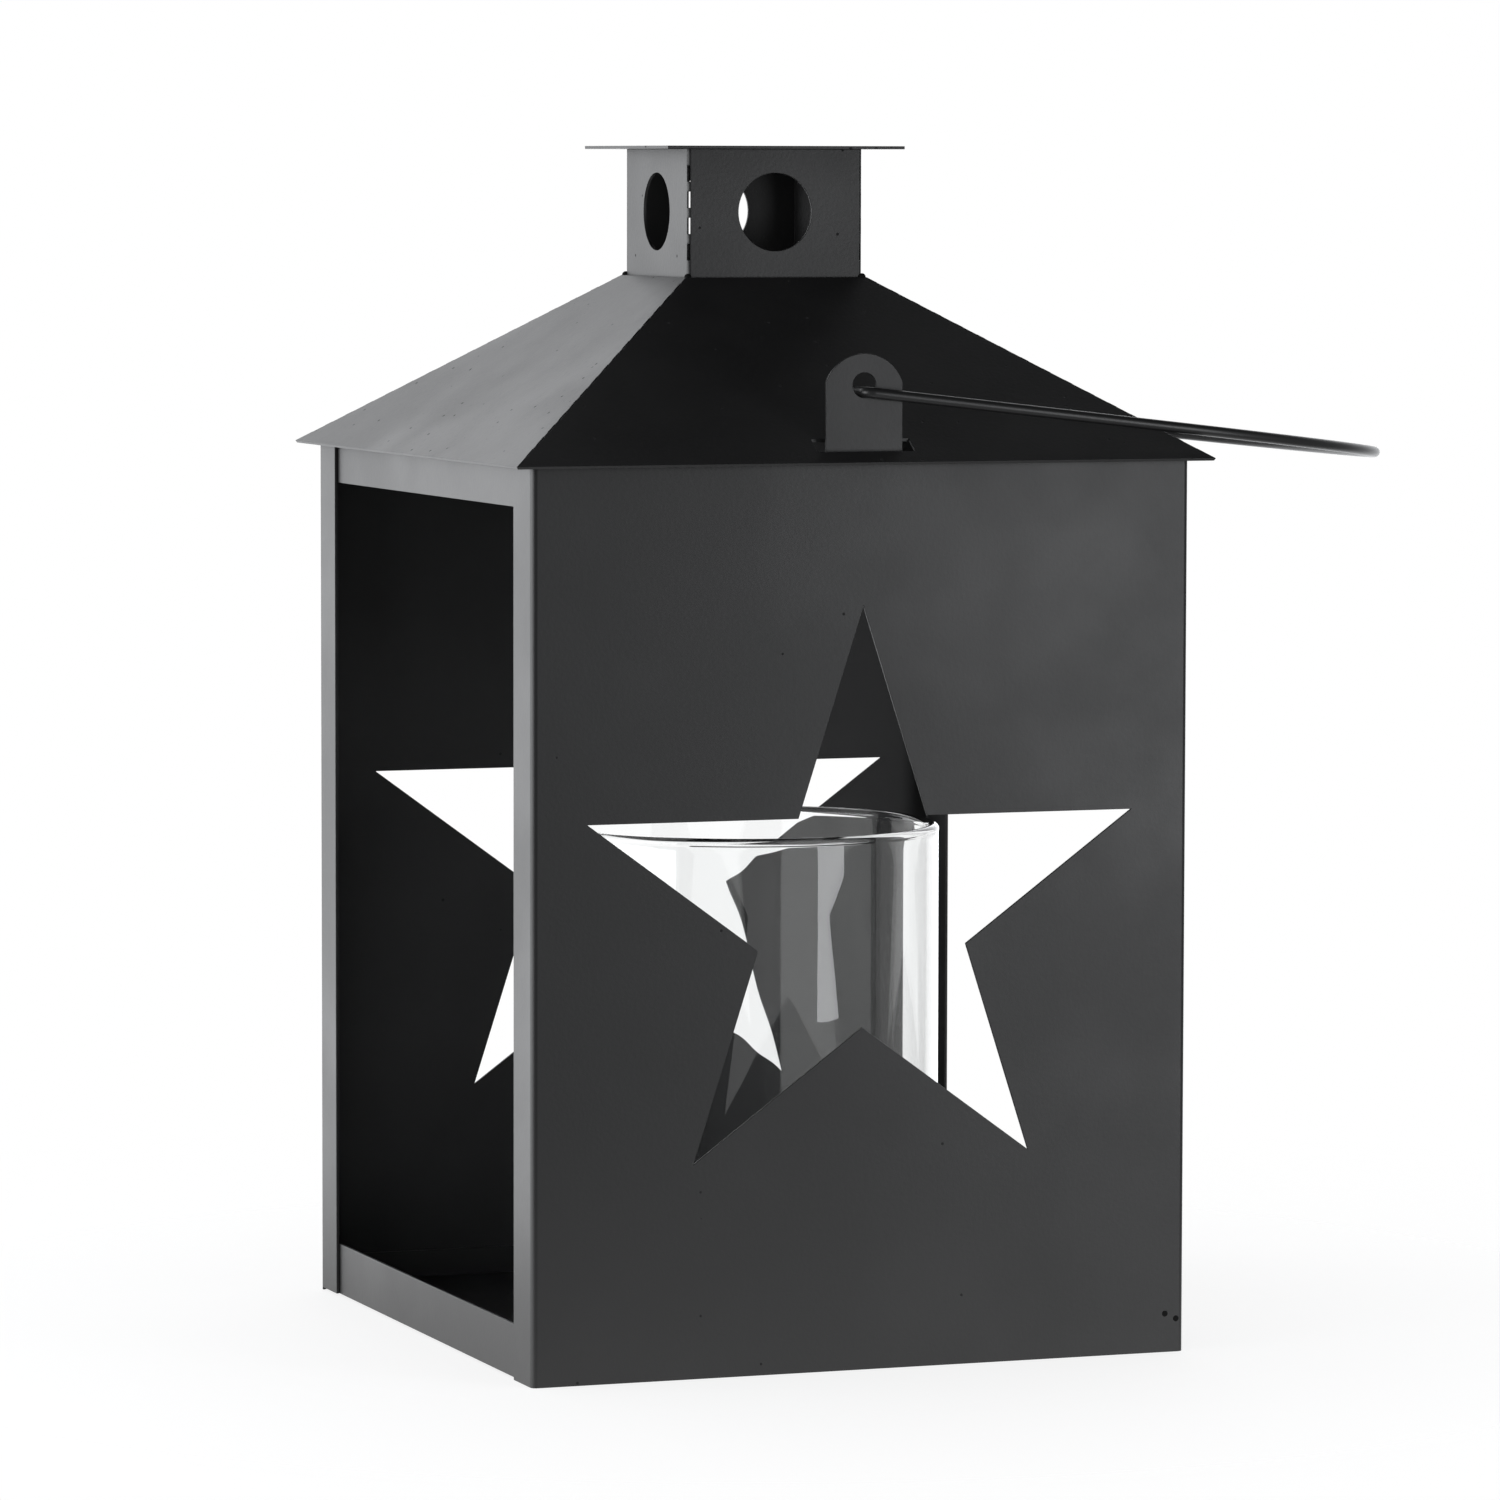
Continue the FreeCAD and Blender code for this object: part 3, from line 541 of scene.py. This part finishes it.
def dust_group(finish):
    """Dust that lies where the surface looks up, thicker in patches and in single specks"""
    group, start, end = new_group(
        "settled_dust",
        [("Place", "NodeSocketVector", None), ("Facing", "NodeSocketVector", None),
         ("Amount", "NodeSocketFloat", 0.2)],
        [("Dust", "NodeSocketFloat")])
    facing = group.nodes.new("ShaderNodeSeparateXYZ")
    group.links.new(start.outputs["Facing"], facing.inputs["Vector"])
    upwards = add_range(group, facing.outputs["Z"], *DUST_SLOPES)
    spread = add_noise(group, start.outputs["Place"], finish.dust_scale, 4.0, 0.6)
    patches = add_range(group, spread, *DUST_LEVELS)
    scattered = add_noise(group, start.outputs["Place"], finish.speck_scale, 1.0)
    specks = add_range(group, scattered, *SPECK_LEVELS)
    laid = add_math(group, "ADD", add_math(group, "MULTIPLY", patches, DUST_SHARE),
                    add_math(group, "MULTIPLY", specks, 1 - DUST_SHARE))
    settled = add_math(group, "MULTIPLY", upwards, laid)
    group.links.new(add_math(group, "MULTIPLY", settled, start.outputs["Amount"]), end.inputs["Dust"])
    return group


def inner_side_group():
    """Sides of the sheet that look at the upright middle line of the lantern, where the coat is duller"""
    group, start, end = new_group(
        "inner_side",
        [("Place", "NodeSocketVector", None), ("Facing", "NodeSocketVector", None)],
        [("Inner", "NodeSocketFloat")])
    level = group.nodes.new("ShaderNodeVectorMath")
    level.operation = "MULTIPLY"
    group.links.new(start.outputs["Place"], level.inputs[0])
    level.inputs[1].default_value = (1.0, 1.0, 0.0)
    outwards = group.nodes.new("ShaderNodeVectorMath")
    outwards.operation = "DOT_PRODUCT"
    group.links.new(level.outputs["Vector"], outwards.inputs[0])
    group.links.new(start.outputs["Facing"], outwards.inputs[1])
    inwards = add_range(group, outwards.outputs["Value"], *INNER_EDGE, 1.0, 0.0)
    group.links.new(inwards, end.inputs["Inner"])
    return group


def place_group(tree, group, values, links):
    """Node of a group in a material, with its own values and links"""
    node = tree.nodes.new("ShaderNodeGroup")
    node.node_tree = group
    for label, value in values.items():
        node.inputs[label].default_value = value
    for label, socket in links.items():
        tree.links.new(socket, node.inputs[label])
    return node


def add_mix(tree, share, first, second):
    """Colour between two colours, which are values or sockets"""
    node = tree.nodes.new("ShaderNodeMix")
    node.data_type = "RGBA"
    tree.links.new(share, node.inputs["Factor"])
    feed(tree, first, node.inputs[6])
    feed(tree, second, node.inputs[7])
    return node.outputs[2]


def add_bump(tree, height, depth, after=None):
    """Bump of a height over a depth, laid on an earlier one"""
    node = tree.nodes.new("ShaderNodeBump")
    node.inputs["Strength"].default_value = 1.0
    node.inputs["Distance"].default_value = depth
    tree.links.new(height, node.inputs["Height"])
    if after is not None:
        tree.links.new(after, node.inputs["Normal"])
    return node.outputs["Normal"]


# Finishes

def new_material(name):
    """New material, its node tree and its shader"""
    material = bpy.data.materials.new(name)
    material.use_nodes = True
    return material, material.node_tree, material.node_tree.nodes["Principled BSDF"]


def coat_material(name, groups, finish, roughness, change, grain, pits, dust, waves):
    """Black powder coat on sheet: grain and pits in its skin, shallow waves, rubbed patches and dust"""
    material, tree, shader = new_material(name)
    place = tree.nodes.new("ShaderNodeTexCoord")
    spot, facing = place.outputs["Object"], place.outputs["Normal"]
    skin = place_group(tree, groups["coat_grain"], {"Grain Size": finish.grain_size, "Pits": pits},
                       {"Place": spot})
    bent = place_group(tree, groups["sheet_waves"], {"Wave Length": finish.wave_length}, {"Place": spot})
    hands = place_group(tree, groups["handling"], {"Roughness": roughness, "Change": change},
                        {"Place": spot})
    laid = place_group(tree, groups["settled_dust"], {"Amount": dust}, {"Place": spot, "Facing": facing})
    colour = add_mix(tree, hands.outputs["Rubbed"], finish.coat_colour, finish.worn_colour)
    colour = add_mix(tree, laid.outputs["Dust"], colour, finish.dust_colour)
    tree.links.new(colour, shader.inputs["Base Color"])
    inner = place_group(tree, groups["inner_side"], {}, {"Place": spot, "Facing": facing})
    dull = add_math(tree, "ADD", add_math(tree, "MULTIPLY", laid.outputs["Dust"], finish.dust_dullness),
                    add_math(tree, "MULTIPLY", inner.outputs["Inner"], finish.inner_dullness))
    dull = add_math(tree, "ADD", dull, add_math(tree, "MULTIPLY", skin.outputs["Pit"], finish.pit_dullness))
    tree.links.new(add_math(tree, "ADD", hands.outputs["Roughness"], dull), shader.inputs["Roughness"])
    normal = add_bump(tree, bent.outputs["Height"], finish.wave_depth * waves)
    normal = add_bump(tree, skin.outputs["Height"], finish.grain_depth * grain, normal)
    tree.links.new(normal, shader.inputs["Normal"])
    shader.inputs["IOR"].default_value = finish.coat_ior
    return material


def wire_material(groups, finish):
    """Smoother black coat on drawn wire"""
    material, tree, shader = new_material("bail_coat")
    spot = tree.nodes.new("ShaderNodeTexCoord").outputs["Object"]
    skin = place_group(tree, groups["coat_grain"], {"Grain Size": finish.grain_size, "Pits": 0.1},
                       {"Place": spot})
    hands = place_group(tree, groups["handling"], {"Roughness": finish.wire_roughness, "Change": 0.06},
                        {"Place": spot})
    tree.links.new(add_mix(tree, hands.outputs["Rubbed"], finish.wire_colour, finish.worn_colour),
                   shader.inputs["Base Color"])
    tree.links.new(hands.outputs["Roughness"], shader.inputs["Roughness"])
    tree.links.new(add_bump(tree, skin.outputs["Height"], finish.grain_depth * 0.7), shader.inputs["Normal"])
    shader.inputs["IOR"].default_value = finish.coat_ior
    return material


def weld_material(groups, finish):
    """Scorched skin of a spot weld"""
    material, tree, shader = new_material("weld_mark")
    spot = tree.nodes.new("ShaderNodeTexCoord").outputs["Object"]
    skin = place_group(tree, groups["coat_grain"], {"Grain Size": finish.grain_size * 0.6, "Pits": 0.6},
                       {"Place": spot})
    tree.links.new(add_mix(tree, skin.outputs["Pit"], finish.weld_colour, finish.coat_colour),
                   shader.inputs["Base Color"])
    tree.links.new(add_bump(tree, skin.outputs["Height"], finish.grain_depth * 2), shader.inputs["Normal"])
    shader.inputs["Roughness"].default_value = finish.weld_roughness
    shader.inputs["Specular IOR Level"].default_value = finish.weld_gloss
    return material


def glass_material(finish):
    """Clear pressed glass with a film of dust on its skin"""
    material, tree, shader = new_material("pressed_clear_glass")
    spot = tree.nodes.new("ShaderNodeTexCoord").outputs["Object"]
    cloudy = add_noise(tree, spot, finish.film_scale, 4.0, 0.6)
    film = add_range(tree, cloudy, *FILM_LEVELS, 0.0, finish.film_roughness)
    tree.links.new(film, shader.inputs["Roughness"])
    shader.inputs["Base Color"].default_value = finish.glass_colour
    shader.inputs["Transmission Weight"].default_value = 1.0
    shader.inputs["IOR"].default_value = finish.glass_ior
    return material


def finishes():
    """The materials, made once"""
    if "sheet_coat" not in bpy.data.materials:
        finish = bpy.context.scene.lantern_finish
        groups = {"coat_grain": coat_grain_group(finish), "sheet_waves": sheet_waves_group(),
                  "handling": handling_group(finish), "settled_dust": dust_group(finish),
                  "inner_side": inner_side_group()}
        coat_material("sheet_coat", groups, finish, roughness=finish.sheet_roughness, change=0.08,
                      grain=1.0, pits=0.05, dust=0.1, waves=0.5)
        coat_material("roof_coat", groups, finish, roughness=finish.roof_roughness, change=0.06,
                      grain=1.9, pits=0.6, dust=0.12, waves=0.2)
        wire_material(groups, finish)
        weld_material(groups, finish)
        glass_material(finish)
    return bpy.data.materials


def give(piece, material, body):
    """Material, finish slot and body of a finished piece"""
    piece.data.materials.clear()
    piece.data.materials.append(finishes()[material])
    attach(piece, body)
    return piece


def dress_sheet(node, material):
    """The node's sheet with its finish, which stands for the node"""
    sizes = bpy.context.scene.lantern_sizes
    piece = sheet_piece(node, node + "_sheet", sizes.edge_round)
    give(piece, material, "lantern")
    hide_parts(node)


# Operators, one for each group of pieces

class LANTERN_OT_walls(Operator):
    """Finish the two folded star panels"""
    bl_idname = "lantern.walls"
    bl_label = "Finish Walls"

    def execute(self, context):
        for node in ("front_left_wall", "rear_right_wall"):
            dress_sheet(node, "sheet_coat")
        return {"FINISHED"}


class LANTERN_OT_floor_pan(Operator):
    """Finish the floor pan"""
    bl_idname = "lantern.floor_pan"
    bl_label = "Finish Floor Pan"

    def execute(self, context):
        dress_sheet("floor_pan", "sheet_coat")
        return {"FINISHED"}


class LANTERN_OT_roof(Operator):
    """Finish the roof, the chimney and its cap"""
    bl_idname = "lantern.roof"
    bl_label = "Finish Roof"

    def execute(self, context):
        for node in ("roof", "chimney", "chimney_cap"):
            dress_sheet(node, "roof_coat")
        return {"FINISHED"}


class LANTERN_OT_bail(Operator):
    """Bend the wire bail and lay it over to the right"""
    bl_idname = "lantern.bail"
    bl_label = "Make Bail"

    def execute(self, context):
        sizes = context.scene.lantern_sizes
        bend, leg = sizes.wire_bend, sizes.leg_place
        turn = leg - bend
        near = np.concatenate([
            np.array([[0, sizes.hook_place]]),
            straight_points((0, sizes.hook_place), (0, turn), HOOK_STEPS),
            arc_points((bend, turn), bend, math.pi, math.pi / 2, BEND_STEPS),
            straight_points((bend, leg), (sizes.leg_length, leg), LEG_STEPS),
        ])
        loop = arc_points((sizes.leg_length, 0), leg, math.pi / 2, -math.pi / 2, LOOP_STEPS)
        far = (near * (1, -1))[::-1]
        points, faces = wire_surface(np.concatenate([near, loop, far]), sizes.wire_radius, sizes.wire_end,
                                     sizes.wire_sides)
        laid = np.array(Matrix.Rotation(sizes.bail_angle, 3, "Y"))
        bail = link_mesh("bail_wire", points @ laid.T + np.array(BAIL_SWING["pos_m"]), faces)
        give(bail, "bail_coat", "bail")
        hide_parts("bail_handle")
        return {"FINISHED"}


class LANTERN_OT_glass(Operator):
    """Press the glass with its thick melted rim"""
    bl_idname = "lantern.glass"
    bl_label = "Make Glass"

    def execute(self, context):
        sizes = context.scene.lantern_sizes
        outer = GLASS_TOP.x
        inner, foot, top = outer - sizes.glass_wall, GLASS_FOOT.z, GLASS_TOP.z
        rim, middle = sizes.glass_rim, outer - sizes.glass_wall / 2
        share = np.linspace(0, 1, SWELL_STEPS)[1:-1, None]
        swell = (rim - sizes.glass_wall / 2) * share ** 2 * (3 - 2 * share)
        wall_top = top - (1 + sizes.glass_swell) * rim
        below = top - rim - sizes.glass_swell * rim * (1 - share)
        well, heel = sizes.glass_well, sizes.glass_heel
        bottom = foot + sizes.glass_base
        profile = np.concatenate([
            np.array([[0, foot]]),
            straight_points((0, foot), (outer - heel, foot), BASE_STEPS),
            arc_points((outer - heel, foot + heel), heel, -math.pi / 2, 0, HEEL_STEPS),
            straight_points((outer, foot + heel), (outer, wall_top), WALL_STEPS),
            np.hstack([outer + swell, below]),
            arc_points((middle, top - rim), rim, 0, math.pi, RIM_STEPS),
            np.hstack([inner - swell, below])[::-1],
            straight_points((inner, wall_top), (inner, bottom + well), WALL_STEPS),
            arc_points((inner - well, bottom + well), well, 0, -math.pi / 2, WELL_STEPS),
            straight_points((inner - well, bottom), (0, bottom), BASE_STEPS),
            np.array([[0, bottom]]),
        ])
        points, faces = turned_surface(profile, sizes.glass_sides, sizes.glass_ripple, sizes.glass_streak)
        glass = link_mesh("pressed_glass", points, faces)
        give(glass, "pressed_clear_glass", "glass")
        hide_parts("glass_insert")
        return {"FINISHED"}


class LANTERN_OT_weld_marks(Operator):
    """Set the spot welds of the floor pan and the beads at the foot of the chimney"""
    bl_idname = "lantern.weld_marks"
    bl_label = "Set Weld Marks"

    def execute(self, context):
        sizes = context.scene.lantern_sizes
        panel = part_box("front_left_wall")[0].y
        radius, place = sizes.weld_radius, sizes.chimney_place
        turn = np.linspace(0, math.pi / 2, MARK_STEPS)
        dome = np.stack([radius * np.cos(turn), sizes.weld_rise * radius * np.sin(turn)], axis=-1)
        profile = np.concatenate([[[0, -sizes.weld_root * radius]], dome])
        mark, mark_faces = turned_surface(profile, MARK_SIDES)
        upright = np.array([[1, 0, 0], [0, 0, -1], [0, 1, 0]])
        surfaces = [((mark @ upright.T + (across, panel, height)) * (sign, sign, 1), mark_faces)
                    for across, height in WELD_PLACES for sign in (1, -1)]
        bead, bead_faces = turned_surface(
            arc_points((0, 0), sizes.bead_radius, -math.pi / 2, math.pi / 2, BEAD_STEPS), MARK_SIDES)
        surfaces += [(bead + (across * place, deep * place, NECK_HEIGHT), bead_faces)
                     for across in (1, -1) for deep in (1, -1)]
        marks = link_mesh("weld_marks", *join_surfaces(surfaces))
        give(marks, "weld_mark", "lantern")
        return {"FINISHED"}


class LANTERN_OT_stage(Operator):
    """Lay the floor, light the studio and set up the camera"""
    bl_idname = "lantern.stage"
    bl_label = "Set Stage"

    def execute(self, context):
        scene = context.scene
        lay_floor(scene)
        light_studio(scene)
        set_camera(scene)
        scene.view_settings.view_transform = "Standard"
        return {"FINISHED"}


# The stage

def lay_floor(scene):
    """Round floor whose rim fades into the backdrop: rings of points (r cos a, r sin a, 0)"""
    stage, finish = scene.lantern_stage, scene.lantern_finish
    radii = np.linspace(FLOOR_CORE, 1.0, FLOOR_RINGS) * stage.floor_radius
    angle = np.linspace(0, 2 * math.pi, FLOOR_SIDES, endpoint=False)
    rings = np.stack([radii[:, None] * np.cos(angle), radii[:, None] * np.sin(angle),
                      np.zeros((FLOOR_RINGS, FLOOR_SIDES))], axis=-1).reshape(-1, 3)
    faces = grid_faces(FLOOR_RINGS, FLOOR_SIDES).tolist()
    faces += pole_faces(len(rings), np.arange(FLOOR_SIDES)).tolist()
    floor = link_mesh("studio_floor", np.concatenate([rings, np.zeros((1, 3))]), faces)
    material, tree, shader = new_material("studio_floor")
    spot = tree.nodes.new("ShaderNodeTexCoord").outputs["Object"]
    away = tree.nodes.new("ShaderNodeVectorMath")
    away.operation = "LENGTH"
    tree.links.new(spot, away.inputs[0])
    fade = add_range(tree, away.outputs["Value"], stage.floor_radius * stage.floor_fade_start,
                     stage.floor_radius * stage.floor_fade_end, 1.0, 0.0)
    tree.links.new(fade, shader.inputs["Alpha"])
    shader.inputs["Base Color"].default_value = finish.floor_colour
    shader.inputs["Roughness"].default_value = finish.floor_roughness
    shader.inputs["Specular IOR Level"].default_value = finish.floor_gloss
    shader.inputs["Emission Color"].default_value = (1.0, 1.0, 1.0, 1.0)
    shader.inputs["Emission Strength"].default_value = stage.floor_glow
    floor.data.materials.append(material)


def light_studio(scene):
    """White backdrop for what the camera and the glass see; for gloss and shade, a studio that is bright
    behind and to the left, dim in front and dark overhead"""
    stage = scene.lantern_stage
    world = bpy.data.worlds.new("studio")
    world.use_nodes = True
    scene.world = world
    tree = world.node_tree
    light = tree.nodes["Background"]
    path = tree.nodes.new("ShaderNodeLightPath")
    direction = tree.nodes.new("ShaderNodeTexCoord").outputs["Generated"]
    parts = tree.nodes.new("ShaderNodeSeparateXYZ")
    tree.links.new(direction, parts.inputs["Vector"])
    low = add_range(tree, parts.outputs["Z"], stage.ceiling_start, stage.ceiling_end, 1.0, stage.ceiling_glow)
    away = tree.nodes.new("ShaderNodeVectorMath")
    away.operation = "DOT_PRODUCT"
    tree.links.new(direction, away.inputs[0])
    away.inputs[1].default_value = BRIGHT_SIDE
    behind = add_range(tree, away.outputs["Value"], 0.0, stage.back_edge, stage.front_glow, stage.back_glow)
    glow = add_math(tree, "MULTIPLY", low, behind)
    seen = add_math(tree, "MAXIMUM", path.outputs["Is Camera Ray"], path.outputs["Is Transmission Ray"])
    for share, level in ((path.outputs["Is Diffuse Ray"], stage.shade_glow), (seen, 1.0)):
        mix = tree.nodes.new("ShaderNodeMix")
        mix.data_type = "FLOAT"
        tree.links.new(share, mix.inputs["Factor"])
        tree.links.new(glow, mix.inputs[2])
        mix.inputs[3].default_value = level
        glow = mix.outputs[0]
    tree.links.new(glow, light.inputs["Strength"])
    tree.links.new(add_mix(tree, seen, stage.light_colour, (1.0, 1.0, 1.0, 1.0)), light.inputs["Color"])
    for softbox in SOFTBOXES:
        add_lamp(scene, *softbox)


def add_lamp(scene, name, place, target, size, power):
    """Rectangular soft light that the camera doesn't see"""
    lamp = bpy.data.lights.new(name, "AREA")
    lamp.shape = "RECTANGLE"
    lamp.size, lamp.size_y = size
    lamp.energy = power
    lamp.color = scene.lantern_stage.light_colour[:3]
    holder = bpy.data.objects.new(name, lamp)
    holder.location = place
    holder.rotation_euler = (Vector(target) - Vector(place)).to_track_quat("-Z", "Y").to_euler()
    holder.visible_camera = False
    holder.visible_transmission = False
    scene.collection.objects.link(holder)


def set_camera(scene):
    """Camera on a circle round the lantern, at the photograph's angle"""
    stage = scene.lantern_stage
    turn, rise = stage.azimuth, stage.elevation
    back = Vector((-math.sin(turn) * math.cos(rise), -math.cos(turn) * math.cos(rise), math.sin(rise)))
    right = Vector((math.cos(turn), -math.sin(turn), 0))
    target = right * stage.aim_across + Vector((0, 0, stage.aim_height))
    facing = Matrix.Rotation(stage.roll, 3, back) @ Matrix((right, back.cross(right), back)).transposed()
    data = bpy.data.cameras.new("camera")
    data.sensor_width = SENSOR_WIDTH
    data.lens = stage.lens
    data.clip_start, data.clip_end = CAMERA_RANGE
    camera = bpy.data.objects.new("camera", data)
    camera.matrix_world = Matrix.Translation(target + back * stage.distance) @ facing.to_4x4()
    scene.collection.objects.link(camera)
    scene.camera = camera


class LANTERN_PT_panel(Panel):
    """Sizes, finishes and steps of the lantern"""
    bl_label = "Star Lantern"
    bl_space_type = "VIEW_3D"
    bl_region_type = "UI"
    bl_category = "Lantern"

    def draw(self, context):
        layout = self.layout
        for group in (context.scene.lantern_sizes, context.scene.lantern_finish, context.scene.lantern_stage):
            box = layout.box()
            for name in group.__annotations__:
                box.prop(group, name)
        for operator in OPERATORS:
            layout.operator(operator.bl_idname)


OPERATORS = (
    LANTERN_OT_walls,
    LANTERN_OT_floor_pan,
    LANTERN_OT_roof,
    LANTERN_OT_bail,
    LANTERN_OT_glass,
    LANTERN_OT_weld_marks,
    LANTERN_OT_stage,
)
CLASSES = (LanternSizes, LanternFinish, LanternStage) + OPERATORS + (LANTERN_PT_panel,)


def register():
    for item in CLASSES:
        bpy.utils.register_class(item)
    bpy.types.Scene.lantern_sizes = PointerProperty(type=LanternSizes)
    bpy.types.Scene.lantern_finish = PointerProperty(type=LanternFinish)
    bpy.types.Scene.lantern_stage = PointerProperty(type=LanternStage)


def unregister():
    del bpy.types.Scene.lantern_stage
    del bpy.types.Scene.lantern_finish
    del bpy.types.Scene.lantern_sizes
    for item in reversed(CLASSES):
        bpy.utils.unregister_class(item)


def main():
    register()
    bpy.ops.lantern.walls()
    bpy.ops.lantern.floor_pan()
    bpy.ops.lantern.roof()
    bpy.ops.lantern.bail()
    bpy.ops.lantern.glass()
    bpy.ops.lantern.weld_marks()
    bpy.ops.lantern.stage()


if __name__ == "__main__":
    main()
